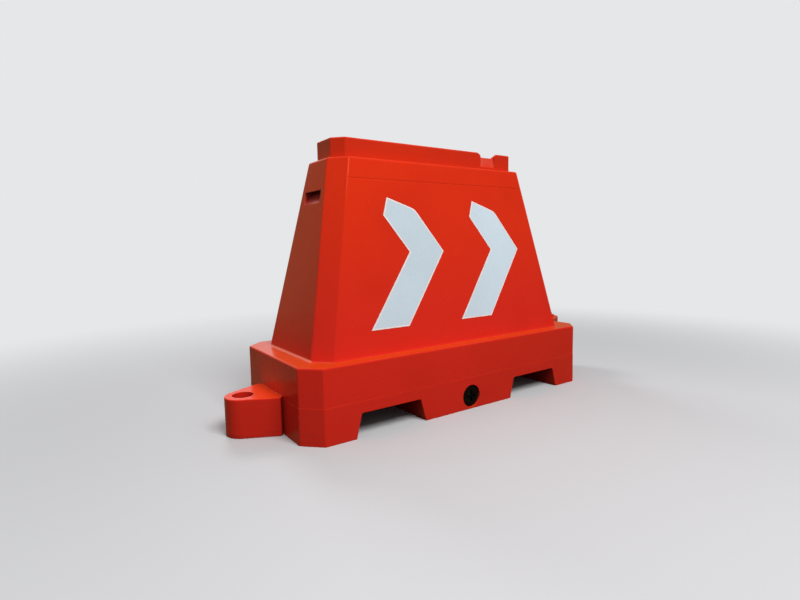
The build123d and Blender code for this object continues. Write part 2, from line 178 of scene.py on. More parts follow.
@dataclass
class Draft:
    """The nodes of a material or a world in the making."""

    owner: Union[Material, bpy.types.World]

    @cached_property
    def tree(self) -> bpy.types.NodeTree:
        """The nodes of the owner, which starts to use them here."""
        self.owner.use_nodes = True
        return self.owner.node_tree

    @cached_property
    def shader(self) -> Node:
        """The plain shader that a material starts with."""
        return self.tree.nodes["Principled BSDF"]

    @cached_property
    def place(self) -> Socket:
        """The place on the object."""
        return self.node("ShaderNodeTexCoord").outputs["Object"]

    @cached_property
    def height(self) -> Socket:
        """The height of the place."""
        return self.part(self.place, "Z")

    @cached_property
    def normal(self) -> Socket:
        """The direction that the surface faces."""
        return self.node("ShaderNodeNewGeometry").outputs["Normal"]

    @cached_property
    def facing_up(self) -> Socket:
        """How far the surface faces upwards, 1 on level tops."""
        return self.part(self.normal, "Z")

    def feed(self, target: Socket, value: Union[Amount, Tint]) -> None:
        """Links a socket to a target, or sets a plain value on it.

        Args:
            target: The input to feed.
            value: A socket, a number, a vector or a colour, which gets its fourth number here.
        """
        if isinstance(value, Socket):
            self.tree.links.new(value, target)
        elif isinstance(value, tuple) and len(target.default_value) > len(value):
            target.default_value = (*value, 1.0)
        else:
            target.default_value = value

    def node(self, kind: str, inputs: Optional[Inputs] = None, **choices: str) -> Node:
        """Adds one node.

        Args:
            kind: The kind of node.
            inputs: What feeds its inputs, by their names or numbers.
            choices: Its settings, such as the step that it takes, by their names.

        Returns:
            The node.
        """
        node = self.tree.nodes.new(kind)
        for name, choice in choices.items():
            setattr(node, name, choice)
        for key, value in (inputs or {}).items():
            self.feed(node.inputs[key], value)
        return node

    def set(self, socket: str, value: Union[Amount, Tint]) -> None:
        """Feeds one of the shader's own sockets."""
        self.feed(self.shader.inputs[socket], value)

    def stretched(self, factors: Way, turn: Way = (0.0, 0.0, 0.0)) -> Socket:
        """The place on the object, stretched along each axis and turned about each, in radians."""
        inputs = {"Vector": self.place, "Scale": factors, "Rotation": turn}
        return self.node("ShaderNodeMapping", inputs).outputs["Vector"]

    def noise(self, size: float, layers: float, place: Optional[Socket] = None) -> Socket:
        """Cloudy noise, 0.5 on average, looked up at the object's own place or at another."""
        inputs = {"Scale": 1 / size, "Detail": layers, "Vector": place or self.place}
        return self.node("ShaderNodeTexNoise", inputs).outputs["Fac"]

    def cells(self, size: float) -> Socket:
        """Crystals of about one size across, each with its own random colour."""
        return self.node("ShaderNodeTexVoronoi", {"Scale": 1 / size, "Vector": self.place}).outputs["Color"]

    def span(self, value: Amount, reach: Reach, to: Reach = (0.0, 1.0)) -> Socket:
        """Maps a stretch of values onto another, smoothly and without going past its ends."""
        inputs = dict(zip(("Value", "From Min", "From Max", "To Min", "To Max"), (value, *reach, *to)))
        return self.node("ShaderNodeMapRange", inputs, interpolation_type="SMOOTHSTEP").outputs["Result"]

    def patchy(self, patches: Patches) -> Socket:
        """Where patches lie."""
        place = self.stretched(patches.stretch) if patches.stretch else None
        return self.span(self.noise(patches.size, patches.layers, place), patches.reach, patches.to)

    def step(self, kind: Step, first: Amount, second: Amount) -> Socket:
        """The result of one mathematical step."""
        return self.node("ShaderNodeMath", {0: first, 1: second}, operation=kind.value).outputs["Value"]

    def chain(self, kind: Step, *values: Amount) -> Amount:
        """Takes a step on several values, one after the other."""
        return reduce(lambda so_far, value: self.step(kind, so_far, value), values)

    def times(self, *values: Amount) -> Amount:
        """The product of several values."""
        return self.chain(Step.MULTIPLY, *values)

    def between(self, value: Socket, low: float, high: float, blur: float) -> Socket:
        """A mask that is 1 between two values and runs out over a blur at each."""
        return self.times(*(self.span(value, reach) for reach in within(low, high, blur)))

    def vector_step(self, kind: VectorStep, *vectors: Union[Socket, Way]) -> Node:
        """The node of one step on vectors."""
        return self.node("ShaderNodeVectorMath", dict(enumerate(vectors)), operation=kind.value)

    def unsigned(self, vector: Socket) -> Socket:
        """A vector with the signs of its components taken off."""
        return self.vector_step(VectorStep.UNSIGNED, vector).outputs["Vector"]

    def agreement(self, first: Socket, second: Union[Socket, Way]) -> Socket:
        """How far two directions agree, 1 where they are the same."""
        return self.vector_step(VectorStep.AGREEMENT, first, second).outputs["Value"]

    def part(self, vector: Socket, axis: str) -> Socket:
        """One component of a vector."""
        return self.node("ShaderNodeSeparateXYZ", {"Vector": vector}).outputs[axis]

    def leaning(self, across: Socket, slope: float) -> Socket:
        """A distance across from a line that leans with the height."""
        return self.step(Step.ADD, across, self.times(self.height, slope))

    def rounded(self, radius: float) -> Socket:
        """The surface's direction with its sharp edges rounded."""
        return self.node("ShaderNodeBevel", {"Radius": radius}).outputs["Normal"]

    def edges(self, radius: float, rise: float) -> Socket:
        """A mask that is 1 along edges, within a radius, and rises as the surface turns away."""
        return self.span(self.agreement(self.rounded(radius), self.normal), (1.0, 1.0 - rise))

    def hollows(self, distance: float, reach: Reach = OPEN_SKY, to: Reach = (0.0, 1.0)) -> Socket:
        """Maps the share of open sky within a distance, which is low deep in corners and recesses."""
        cover = self.node("ShaderNodeAmbientOcclusion", {"Distance": distance})
        return self.span(cover.outputs["AO"], reach, to)

    def mix(self, share: Amount, first: Tint, second: Tint) -> Socket:
        """Mixes two colours by the share of the second."""
        inputs = {MIX_SHARE: share, MIX_FIRST: first, MIX_SECOND: second}
        return self.node("ShaderNodeMix", inputs, data_type="RGBA").outputs[MIX_RESULT]

    def layered(self, colour: Tint, layers: Sequence[tuple[Amount, Tint]]) -> Tint:
        """Lays colours over another, each by its own share."""
        return reduce(lambda so_far, layer: self.mix(layer[0], so_far, layer[1]), layers, colour)

    def uneven(self, relief: Relief) -> tuple[Socket, float]:
        """The height and the depth of a relief."""
        return self.noise(relief.size, relief.layers), relief.depth

    def bumps(self, layers: Sequence[tuple[Socket, float]], normal: Optional[Socket] = None) -> None:
        """Gives the surface its relief.

        Args:
            layers: Each layer's height and its depth in metres.
            normal: The direction that the relief starts from, if not the surface's own.
        """
        for height, depth in layers:
            bump = self.node("ShaderNodeBump", {"Distance": depth, "Height": height})
            if normal is not None:
                self.feed(bump.inputs["Normal"], normal)
            normal = bump.outputs["Normal"]
        self.set("Normal", normal)


# Kinds of wear, and painted light and shade

@dataclass(frozen=True, kw_only=True)
class WearAndPaintedLight:
    """What wear, weather and painted light and shade add to a finish: a colour, and the masks whose product
    says where it shows.
    """

    colour: Colour
    strength: float = 1.0

    def masks(self, draft: Draft) -> list[Amount]:
        """The masks, which each kind of wear has for itself."""
        raise NotImplementedError

    def share(self, draft: Draft) -> Amount:
        """How much of the colour shows."""
        return draft.times(*self.masks(draft), self.strength)


@dataclass(frozen=True, kw_only=True)
class Zone(WearAndPaintedLight):
    """Colour within some heights, on faces that look up so far, either even or in patches: wear and weather,
    and on the moulding also painted light and shade.
    """

    heights: tuple[Reach, ...] = ()
    facing_up: tuple[Reach, ...] = ()
    patches: tuple[Patches, ...] = ()

    def masks(self, draft: Draft) -> list[Amount]:
        """The heights, the faces and the patches."""
        return [
            *(draft.span(draft.height, reach) for reach in self.heights),
            *(draft.span(draft.facing_up, reach) for reach in self.facing_up),
            *(draft.patchy(patches) for patches in self.patches)]


@dataclass(frozen=True, kw_only=True)
class PaintedHighlight(Zone):
    """A painted highlight: a bright line on a rounded edge, where the surface turns through one way, on every
    side alike.
    """

    way: Way
    reach: Reach

    def masks(self, draft: Draft) -> list[Amount]:
        """The zone's masks and the way."""
        agreement = draft.agreement(draft.unsigned(draft.normal), self.way)
        return [*super().masks(draft), draft.span(agreement, self.reach)]


@dataclass(frozen=True, kw_only=True)
class FaintDarkLines(Zone):
    """Faint darker slanting lines on the front, which run on from the chevrons' inner edges."""

    slope: float
    places: tuple[float, ...]
    half_width: float
    blur: float
    front: Reach

    def masks(self, draft: Draft) -> list[Amount]:
        """The zone's masks, the front and the lines.

        Args:
            draft: The material in the making.

        Returns:
            The masks.
        """
        x, y = (draft.part(draft.place, axis) for axis in "XY")
        across = draft.leaning(x, self.slope)
        limits = [(place - self.half_width, place + self.half_width) for place in self.places]
        lines = [draft.between(across, *limit, self.blur) for limit in limits]
        return [*super().masks(draft), draft.span(y, self.front), draft.chain(Step.LARGER, *lines)]


@dataclass(frozen=True, kw_only=True)
class PaintedGripShade(Zone):
    """Painted shade inside the hand grips of both ends, behind the plane of the end, which dulls them towards
    a purplish colour.
    """

    planes: Reach
    sides: Reach

    def masks(self, draft: Draft) -> list[Amount]:
        """The zone's masks, the depth and the sides."""
        x, y = (draft.part(draft.unsigned(draft.place), axis) for axis in "XY")
        return [
            *super().masks(draft),
            draft.span(draft.leaning(x, END_SLOPE), self.planes),
            draft.span(y, self.sides)]


@dataclass(frozen=True, kw_only=True)
class EdgeWearAndHighlight(WearAndPaintedLight):
    """Edges that are rubbed in uneven patches; on the moulding their lighter colour is partly a painted
    highlight.
    """

    radius: float
    rise: float
    patches: Patches

    def masks(self, draft: Draft) -> list[Amount]:
        """The edges and the patches."""
        return [draft.edges(self.radius, self.rise), draft.patchy(self.patches)]


@dataclass(frozen=True, kw_only=True)
class HollowDirtAndShade(WearAndPaintedLight):
    """A colour deep in hollows and, where they are given, on undersides: grey dust on black plastic, painted
    shade on the moulding.
    """

    distance: float
    open_share: Reach = OPEN_SKY
    under: tuple[Reach, ...] = ()

    def masks(self, draft: Draft) -> list[Amount]:
        """The hollows or the undersides, whichever is stronger."""
        under = [draft.span(draft.facing_up, reach) for reach in self.under]
        return [draft.chain(Step.LARGER, draft.hollows(self.distance, self.open_share), *under)]


@dataclass(frozen=True, kw_only=True)
class SettledDust(WearAndPaintedLight):
    """A little dust in corners and on level tops, in patches."""

    level: Reach
    top_share: float
    corner_reach: float
    corner_share: float
    patches: Patches

    def masks(self, draft: Draft) -> list[Amount]:
        """The tops with the corners, and the patches."""
        tops = draft.span(draft.facing_up, self.level, (0.0, self.top_share))
        return [
            draft.step(Step.ADD, tops, draft.hollows(self.corner_reach, to=(0.0, self.corner_share))),
            draft.patchy(self.patches)]


# What wear and weather have done to the moulding, and the light and shade painted on it

# A dark red for scuffs, scratches and darker marks, and for the painted shade on the rim.
SCUFF_AND_SHADE_RED = linear("96261A")
LEVEL = (0.80, 1.0)

SUN_FADED = Zone(colour=linear("DE300F"), heights=((0.10, 0.70),))
CLOUDED = Zone(colour=linear("C42412"), strength=0.35, patches=(Patches(0.30, 2.0, (0.42, 0.72)),))
# Level tops paler and more orange: partly sun bleaching, partly painted light from above.
BLEACHED_TOPS_AND_PAINTED_LIGHT = Zone(colour=linear("E34514"), facing_up=(LEVEL,))
# Painted shade: the rim's upright faces just above the shoulder are darkened.
PAINTED_SHADE_ON_RIM = Zone(
    colour=SCUFF_AND_SHADE_RED, strength=0.22, heights=((SHOULDER_HEIGHT, SHOULDER_HEIGHT + 4 * MM),),
    facing_up=((0.10, 0.04),))
# Darker below the parting line.
DARKER_SKIRT = Zone(
    colour=SCUFF_AND_SHADE_RED, strength=0.09, heights=((PARTING_HEIGHT + 0.5 * MM, PARTING_HEIGHT - 0.5 * MM),))
# Brighter orange on the lugs' upward faces at their split: partly rubbed by the neighbouring lug, partly
# painted light.
POLISHED_LUG_AND_PAINTED_LIGHT = Zone(
    colour=linear("FA3A0E"), strength=0.8, heights=within(LUG_SPLIT - 2 * MM, LUG_SPLIT + 2 * MM, 3 * MM),
    facing_up=((0.40, 0.85),))
LEVEL_SCRATCHES = Zone(
    colour=SCUFF_AND_SHADE_RED, strength=0.45, heights=((0.085, 0.0),),
    patches=(Patches(0.12, 6.0, (0.58, 0.70), stretch=(1.0, 1.0, 26.0)),))
# Faint darker slanting lines on the front.
FAINT_DARK_LINES = FaintDarkLines(
    colour=SCUFF_AND_SHADE_RED, strength=0.16, heights=within(0.285, 0.385, 10 * MM), slope=0.744,
    places=(0.1941, 0.5206), half_width=0.8 * MM, blur=1.2 * MM, front=(0.0, -10 * MM))
# Lighter edges in patches: partly rubbed wear, partly a painted highlight along the edges.
RUBBED_EDGES_AND_PAINTED_HIGHLIGHT = EdgeWearAndHighlight(
    colour=linear("E85A34"), strength=0.30, radius=4 * MM, rise=0.25,
    patches=Patches(0.03, 5.0, (0.40, 0.65)))
# Painted highlight: a bright line down the upright corners of the body just below the shoulder.
CORNER_PAINTED_HIGHLIGHT = PaintedHighlight(
    colour=linear("FF5938"), strength=0.6, way=(0.381, 0.912, 0.150), reach=(0.951, 0.990),
    heights=((0.60, SHOULDER_HEIGHT), (SHOULDER_HEIGHT + 0.5 * MM, SHOULDER_HEIGHT - 0.5 * MM)))
# Painted highlight: a pale line along the feet of the body's ends, where they meet the base.
FOOT_PAINTED_HIGHLIGHT = PaintedHighlight(
    colour=linear("FF8169"), strength=0.9, way=(0.661, 0.0, 0.750), reach=(0.848, 0.970),
    heights=within(BASE_HEIGHT + 1 * MM, BASE_HEIGHT + 7 * MM, 0.7 * MM))
# Pale pink runs on upward slopes low on the rim: partly chalk marks, partly a painted highlight where the
# slopes catch light.
CHALK_RUNS_AND_PAINTED_HIGHLIGHT = Zone(
    colour=linear("E07A66"), heights=((SHOULDER_HEIGHT + 9 * MM, SHOULDER_HEIGHT + 15 * MM),),
    facing_up=((0.06, 0.12), (0.40, 0.25)),
    patches=(Patches(0.02, 4.0, (0.30, 0.70), to=(0.06, 0.28), stretch=(1.0, 1.0, 0.25)),))
DUSTED = SettledDust(
    colour=linear("B0705A"), level=LEVEL, top_share=0.05, corner_reach=20 * MM, corner_share=0.16,
    patches=Patches(0.04, 6.0, (0.35, 0.75)))
# Painted shade: the insides of the hand grips dulled towards a purplish colour.
PAINTED_GRIP_SHADE = PaintedGripShade(
    colour=linear("B06A66"), strength=0.35, heights=within(0.6185, 0.6545, 3 * MM), sides=(56 * MM, 52 * MM),
    planes=(END_PLANE - 0.2 * MM, END_PLANE - 1.2 * MM))
# Painted shade: a dark red-brown deep in hollows and on undersides.
PAINTED_HOLLOW_SHADE = HollowDirtAndShade(
    colour=linear("2E0A07"), strength=0.65, distance=0.25, open_share=(0.25, 0.08), under=((-0.3, -0.9),))


# Finishes

@dataclass(frozen=True)
class Finish:
    """A finish: a colour with wear on it, and on the moulding painted light and shade too, a roughness that
    varies in patches, and a fine relief.
    """

    name: str
    colour: Colour
    wears_and_painted_light: tuple[WearAndPaintedLight, ...]
    roughness: Patches
    relief: tuple[Relief, ...]
    gloss: float = 0.5
    edge_radius: float = 0.0

    def material(self) -> Material:
        """Builds the material.

        Returns:
            The material.
        """
        draft = Draft(bpy.data.materials.new(self.name))
        # Each layer is wear or weather, and on the moulding some layers are painted light and shade.
        layers = [(wear.share(draft), wear.colour) for wear in self.wears_and_painted_light]
        draft.set("Base Color", draft.layered(self.colour, layers))
        draft.set("Roughness", draft.patchy(self.roughness))
        draft.set("Specular IOR Level", self.gloss)
        normal = draft.rounded(self.edge_radius) if self.edge_radius else None
        draft.bumps([draft.uneven(relief) for relief in self.relief], normal)
        return draft.owner


@dataclass(frozen=True)
class MouldedPlastic(Finish):
    """Rotationally moulded plastic: satin, faintly wavy and grainy, faded, rubbed, scuffed and dusty, with
    painted highlights on edges, tops and slopes and painted shade on the rim, in the grips, hollows and
    undersides.
    """

    name: str = "orange_red_moulding"
    colour: Colour = linear("DE291C")
    wears_and_painted_light: tuple[WearAndPaintedLight, ...] = (
        SUN_FADED, CLOUDED, BLEACHED_TOPS_AND_PAINTED_LIGHT, PAINTED_SHADE_ON_RIM, DARKER_SKIRT, POLISHED_LUG_AND_PAINTED_LIGHT, LEVEL_SCRATCHES,
        FAINT_DARK_LINES, RUBBED_EDGES_AND_PAINTED_HIGHLIGHT, CORNER_PAINTED_HIGHLIGHT, FOOT_PAINTED_HIGHLIGHT, CHALK_RUNS_AND_PAINTED_HIGHLIGHT, DUSTED, PAINTED_GRIP_SHADE, PAINTED_HOLLOW_SHADE)
    roughness: Patches = Patches(0.05, 5.0, to=(0.20, 0.28))
    relief: tuple[Relief, ...] = (Relief(0.14, 1.0, 0.4 * MM), Relief(2.2 * MM, 2.0, 0.06 * MM))
    gloss: float = 0.22
    edge_radius: float = 2.5 * MM


@dataclass(frozen=True)
class SealedEdge(Finish):
    """The plain sealed border of a reflective sheet, soiled in patches."""

    name: str = "sealed_sheet_edge"
    colour: Colour = linear("F8EBE8")
    wears_and_painted_light: tuple[WearAndPaintedLight, ...] = (Zone(colour=linear("EEDAD5"), patches=(Patches(0.02, 4.0, (0.4, 0.8)),)),)
    roughness: Patches = Patches(0.01, 3.0, to=(0.30, 0.42))
    relief: tuple[Relief, ...] = (Relief(1.5 * MM, 2.0, 0.03 * MM),)


def greying(code: str) -> tuple[WearAndPaintedLight, ...]:
    """The wear of black plastic: grey edges and a little grey dust in its hollows.

    Args:
        code: The grey, as six hexadecimal digits.

    Returns:
        The two kinds of wear.
    """
    patches = Patches(6 * MM, 4.0, (0.35, 0.65))
    edges = EdgeWearAndHighlight(colour=linear(code), strength=0.55, radius=1.2 * MM, rise=0.3, patches=patches)
    return edges, HollowDirtAndShade(colour=linear(code), strength=0.10, distance=6 * MM)


@dataclass(frozen=True)
class BlackPlastic(Finish):
    """Black moulded plastic with a fine eroded grain, greyed along its edges."""

    colour: Colour = linear("0E0E10")
    wears_and_painted_light: tuple[WearAndPaintedLight, ...] = greying("2C2C2E")
    roughness: Patches = Patches(8 * MM, 4.0, to=(0.36, 0.55))
    relief: tuple[Relief, ...] = (Relief(0.9 * MM, 3.0, 0.05 * MM),)
    gloss: float = 0.3
    edge_radius: float = 0.4 * MM


@dataclass(frozen=True)
class SealRubber(Finish):
    """Soft black rubber with a dull bloom."""

    colour: Colour = linear("1B1A1A")
    wears_and_painted_light: tuple[WearAndPaintedLight, ...] = (Zone(colour=linear("3B3836"), patches=(Patches(6 * MM, 5.0, (0.4, 0.75)),)),)
    roughness: Patches = Patches(4 * MM, 3.0, to=(0.62, 0.80))
    relief: tuple[Relief, ...] = (Relief(0.7 * MM, 3.0, 0.04 * MM),)


@dataclass(frozen=True)
class DippedCoat(Finish):
    """A thick orange-red plastic skin over steel: smooth, faintly wavy, dulled in patches by handling."""

    name: str = "dipped_plastic_skin"
    colour: Colour = linear("D62A12")
    wears_and_painted_light: tuple[WearAndPaintedLight, ...] = (
        Zone(colour=linear("A8321E"), strength=0.5, patches=(Patches(12 * MM, 4.0, (0.45, 0.75)),)),)
    roughness: Patches = Patches(0.01, 3.0, to=(0.26, 0.40))
    relief: tuple[Relief, ...] = (Relief(8 * MM, 1.0, 0.25 * MM),)
    gloss: float = 0.3
    edge_radius: float = 0.8 * MM


@dataclass(frozen=True)
class ZincCoat:
    """Hot-dip galvanised steel with its crystal spangle and dull grey patches."""

    name: str = "galvanised_steel"
    bright: Colour = linear("BCC3CA")
    dull: Colour = linear("8F979E")
    sheen: float = 0.35
    spangle: float = 5.0 * MM
    ageing: Patches = Patches(0.02, 5.0, (0.35, 0.7))
    roughness: Reach = (0.28, 0.52)
    relief: Relief = Relief(2.5 * MM, 4.0, 0.08 * MM)
    edge_radius: float = 0.5 * MM

    def material(self) -> Material:
        """Builds the material.

        Returns:
            The material.
        """
        draft = Draft(bpy.data.materials.new(self.name))
        crystals = draft.part(draft.cells(self.spangle), "X")
        share = draft.times(draft.step(Step.ADD, crystals, draft.patchy(self.ageing)), 0.5)
        draft.set("Base Color", draft.mix(share, self.bright, self.dull))
        draft.set("Metallic", self.sheen)
        draft.set("Roughness", draft.span(share, (0.0, 1.0), self.roughness))
        draft.bumps([draft.uneven(self.relief)], draft.rounded(self.edge_radius))
        return draft.owner


@dataclass(frozen=True)
class PrismSheet:
    """Reflective sheet: glossy, with fine prisms between sealed lines, paler in random clouds, and painted
    light that makes it paler low down and to the right.
    """

    name: str = "reflective_prisms"
    colour: Colour = linear("C8D8E1")
    painted_light_and_clouds: Colour = linear("D2E2EC")
    painted_light_heights: Reach = (0.62, 0.30)
    painted_light_share: Reach = (0.15, 0.75)
    clouds: Patches = Patches(0.10, 3.0, to=(-0.15, 0.25))
    painted_light_right: Colour = linear("E2F2FC")
    painted_light_right_reach: Reach = (-0.05, 0.25)
    painted_light_right_share: Reach = (0.0, 0.6)
    grime: Colour = linear("A6ACAC")
    specks: Patches = Patches(12 * MM, 4.0, (0.68, 0.76), to=(0.0, 0.25))
    line: Colour = linear("DAE4E8")
    line_share: float = 0.6
    line_width: float = 0.45 * MM
    line_depth: float = 0.06 * MM
    lattice: float = 7.0 * MM
    lattice_angle: float = math.radians(30)
    prisms: Relief = Relief(0.5 * MM, 1.0, 0.02 * MM)
    roughness: Patches = Patches(0.03, 4.0, to=(0.22, 0.36))
    coat: float = 0.25
    coat_roughness: float = 0.12

    def material(self) -> Material:
        """Builds the material.

        Returns:
            The material.
        """
        draft = Draft(bpy.data.materials.new(self.name))
        lines = self.lines(draft)
        # Painted light: the sheet is paler low down.
        low = draft.span(draft.height, self.painted_light_heights, self.painted_light_share)
        layers = [
            (draft.step(Step.ADD, low, draft.patchy(self.clouds)), self.painted_light_and_clouds),
            # Painted light: the sheet is paler towards the right.
            (draft.span(draft.part(draft.place, "X"), self.painted_light_right_reach, self.painted_light_right_share), self.painted_light_right),
            (draft.patchy(self.specks), self.grime),
            (draft.times(lines, self.line_share), self.line)]
        draft.set("Base Color", draft.layered(self.colour, layers))
        draft.set("Roughness", draft.patchy(self.roughness))
        draft.set("Coat Weight", self.coat)
        draft.set("Coat Roughness", self.coat_roughness)
        draft.bumps([draft.uneven(self.prisms), (lines, self.line_depth)])
        return draft.owner

    def lines(self, draft: Draft) -> Socket:
        """The lattice of sealed lines, 1 on a line.

        Args:
            draft: The material in the making.

        Returns:
            The mask of the lines.
        """
        gaps = []
        for turn in (self.lattice_angle, -self.lattice_angle):
            across = draft.part(draft.stretched((1.0, 1.0, 1.0), (0.0, turn, 0.0)), "X")
            gaps.append(draft.step(Step.FOLD, across, self.lattice / 2))
        return draft.span(draft.chain(Step.SMALLER, *gaps), (self.line_width, self.line_width / 2))


BACKDROP = linear("E6E7E8")


@dataclass(frozen=True)
class PaleFloor:
    """The studio's plain pale floor, which fades into the backdrop far away and gives back little light."""

    name: str = "pale_floor"
    colour: Colour = linear("D0D1D2")
    unlit: Colour = linear("5A5A5A")
    mirrored: Colour = linear("847A56")
    fade: Reach = (0.9, 2.6)
    roughness: float = 0.9

    def material(self) -> Material:
        """Builds the material.

        Returns:
            The material.
        """
        draft = Draft(bpy.data.materials.new(self.name))
        path = draft.node("ShaderNodeLightPath")
        seen = path.outputs["Is Camera Ray"]
        dim = draft.mix(path.outputs["Is Glossy Ray"], self.unlit, self.mirrored)
        draft.set("Base Color", draft.mix(seen, dim, self.colour))
        draft.set("Roughness", self.roughness)
        draft.set("Specular IOR Level", 0.0)
        far = draft.span(draft.vector_step(VectorStep.LENGTH, draft.place).outputs["Value"], self.fade)
        glow = draft.node("ShaderNodeEmission", {"Color": BACKDROP}).outputs["Emission"]
        inputs = {"Fac": draft.times(far, seen), 1: draft.shader.outputs["BSDF"], 2: glow}
        blend = draft.node("ShaderNodeMixShader", inputs)
        draft.feed(draft.tree.nodes["Material Output"].inputs["Surface"], blend.outputs["Shader"])
        return draft.owner


@dataclass(frozen=True)
class Surroundings:
    """What surrounds the stage: a backdrop, warm on its left and dim on its right, a dim room, a soft sky."""

    name: str = "studio_world"
    sky: Colour = (0.30, 0.30, 0.31)
    room: Colour = (0.06, 0.06, 0.065)
    behind: Reach = (-0.1, 0.5)
    warm: Colour = (0.43, 0.34, 0.16)
    warm_side: Reach = (0.05, -0.25)
    dim: Colour = (0.25, 0.21, 0.13)
    dim_side: Reach = (0.45, 0.72)

    def world(self) -> bpy.types.World:
        """Builds the world.

        Returns:
            The world.
        """
        draft = Draft(bpy.data.worlds.new(self.name))
        way = draft.node("ShaderNodeTexCoord").outputs["Generated"]
        behind = draft.span(draft.part(way, "Y"), self.behind)
        layers = [(behind, BACKDROP)]
        for side, tone in ((self.warm_side, self.warm), (self.dim_side, self.dim)):
            layers.append((draft.times(draft.span(draft.part(way, "X"), side), behind), tone))
        mirrored = draft.layered(self.room, layers)
        path = draft.node("ShaderNodeLightPath")
        seen = draft.step(Step.LARGER, path.outputs["Is Camera Ray"], path.outputs["Is Transmission Ray"])
        colour = draft.layered(self.sky, [(path.outputs["Is Glossy Ray"], mirrored), (seen, BACKDROP)])
        draft.feed(draft.tree.nodes["Background"].inputs["Color"], colour)
        return draft.owner


# Mesh tools

def write_mesh(mesh: WorkMesh, data: bpy.types.Mesh) -> None:
    """Writes out a mesh in the making, smooth but for its sharp edges.

    Args:
        mesh: The mesh, which is used up.
        data: What it is written to.
    """
    bmesh.ops.recalc_face_normals(mesh, faces=mesh.faces)
    mesh.to_mesh(data)
    mesh.free()
    data.shade_smooth()
    data.set_sharp_from_angle(angle=SHARP_ANGLE)


def placed(name: str, mesh: WorkMesh) -> Piece:
    """Turns a mesh into an object of the scene.

    Args:
        name: The piece's name.
        mesh: The mesh, which is used up.

    Returns:
        The object.
    """
    piece = bpy.data.objects.new(name, bpy.data.meshes.new(name))
    write_mesh(mesh, piece.data)
    bpy.context.scene.collection.objects.link(piece)
    return piece


def dress(piece: Piece, *materials: Material) -> None:
    """Gives a piece its materials. A new piece isn't cleared first, which would set its faces' numbers to 0.

    Args:
        piece: The piece.
        materials: Its materials, in the order of its faces' material numbers.
    """
    if piece.data.materials:
        piece.data.materials.clear()
    for material in materials:
        piece.data.materials.append(material)


def dress_node(node: str, material: Material) -> None:
    """Gives a CAD node its material."""
    dress(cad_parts[node], material)
    log.info("%s dressed", node)


def rides(piece: Piece, body: Body, slot: Slot, *nodes: str) -> None:
    """Joins a piece to the body that carries it.

    Args:
        piece: The piece.
        body: The body that it moves with.
        slot: The record's slot that its finish belongs to; not used.
        nodes: The CAD nodes that it stands for.
    """
    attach(piece, body.value)
    if nodes:
        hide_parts(*nodes)
    log.info("%s rides on %s", piece.name, body.value)


def node_mesh(node: str) -> WorkMesh:
    """A copy of a CAD node's mesh with whole flat faces.

    Args:
        node: The node's name.

    Returns:
        The copy.
    """
    mesh = bmesh.new()
    mesh.from_mesh(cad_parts[node].data)
    bmesh.ops.remove_doubles(mesh, verts=mesh.verts, dist=SAME_POINT)
    bmesh.ops.dissolve_limit(mesh, angle_limit=SAME_PLANE, verts=mesh.verts, edges=mesh.edges)
    return mesh


def cut_off(mesh: WorkMesh, point: Vector, outwards: Vector) -> None:
    """Removes what lies past a plane and closes the cut.

    Args:
        mesh: The mesh to cut.
        point: A point of the plane.
        outwards: The side that is removed.
    """
    everything = [*mesh.verts, *mesh.edges, *mesh.faces]
    cut = bmesh.ops.bisect_plane(mesh, geom=everything, plane_co=point, plane_no=outwards, clear_outer=True)
    rim = [e for e in cut["geom_cut"] if isinstance(e, bmesh.types.BMEdge)]
    bmesh.ops.holes_fill(mesh, edges=rim, sides=0)


def soften(piece: Piece, width: float, segments: int = 3) -> None:
    """Rounds the sharp edges of a piece in its mesh.

    Args:
        piece: The piece.
        width: The width of the rounding.
        segments: How many facets it has.
    """
    rounding = piece.modifiers.new("edge_rounding", "BEVEL")
    rounding.width = width
    rounding.segments = segments
    rounding.limit_method = "ANGLE"
    rounding.angle_limit = ROUNDED_ANGLE
    rounding.harden_normals = True
    shown = piece.evaluated_get(bpy.context.evaluated_depsgraph_get())
    rounded = bpy.data.meshes.new_from_object(shown)
    piece.modifiers.clear()
    piece.data = rounded


def about(turn: float, radius: float, height: float) -> Vector:
    """A point at a share of a turn about the upright line through the origin."""
    return Vector((radius * math.cos(FULL_TURN * turn), radius * math.sin(FULL_TURN * turn), height))


def band(mesh: WorkMesh, low: Row, high: Row) -> list[bmesh.types.BMFace]:
    """Joins two closed rows of vertices by a band of faces."""
    return [mesh.faces.new((low[i - 1], low[i], high[i], high[i - 1])) for i in range(len(low))]


def wrap(mesh: WorkMesh, surface: Surface, around: int, along: int, closed: bool = False) -> list[Row]:
    """Adds a grid that closes around its first direction.

    Args:
        mesh: The mesh to add to.
        surface: Gives a point for two shares, around and along, each from 0 to 1.
        around: How many points it has around.
        along: How many steps it has along.
        closed: Whether it closes along its second direction too.

    Returns:
        The rows of vertices, one row for each step along.
    """
    count = along if closed else along + 1
    rows = [[mesh.verts.new(surface(i / around, j / along)) for i in range(around)] for j in range(count)]
    for low, high in zip(rows, rows[1:] + rows[:1] if closed else rows[1:]):
        band(mesh, low, high)
    return rows


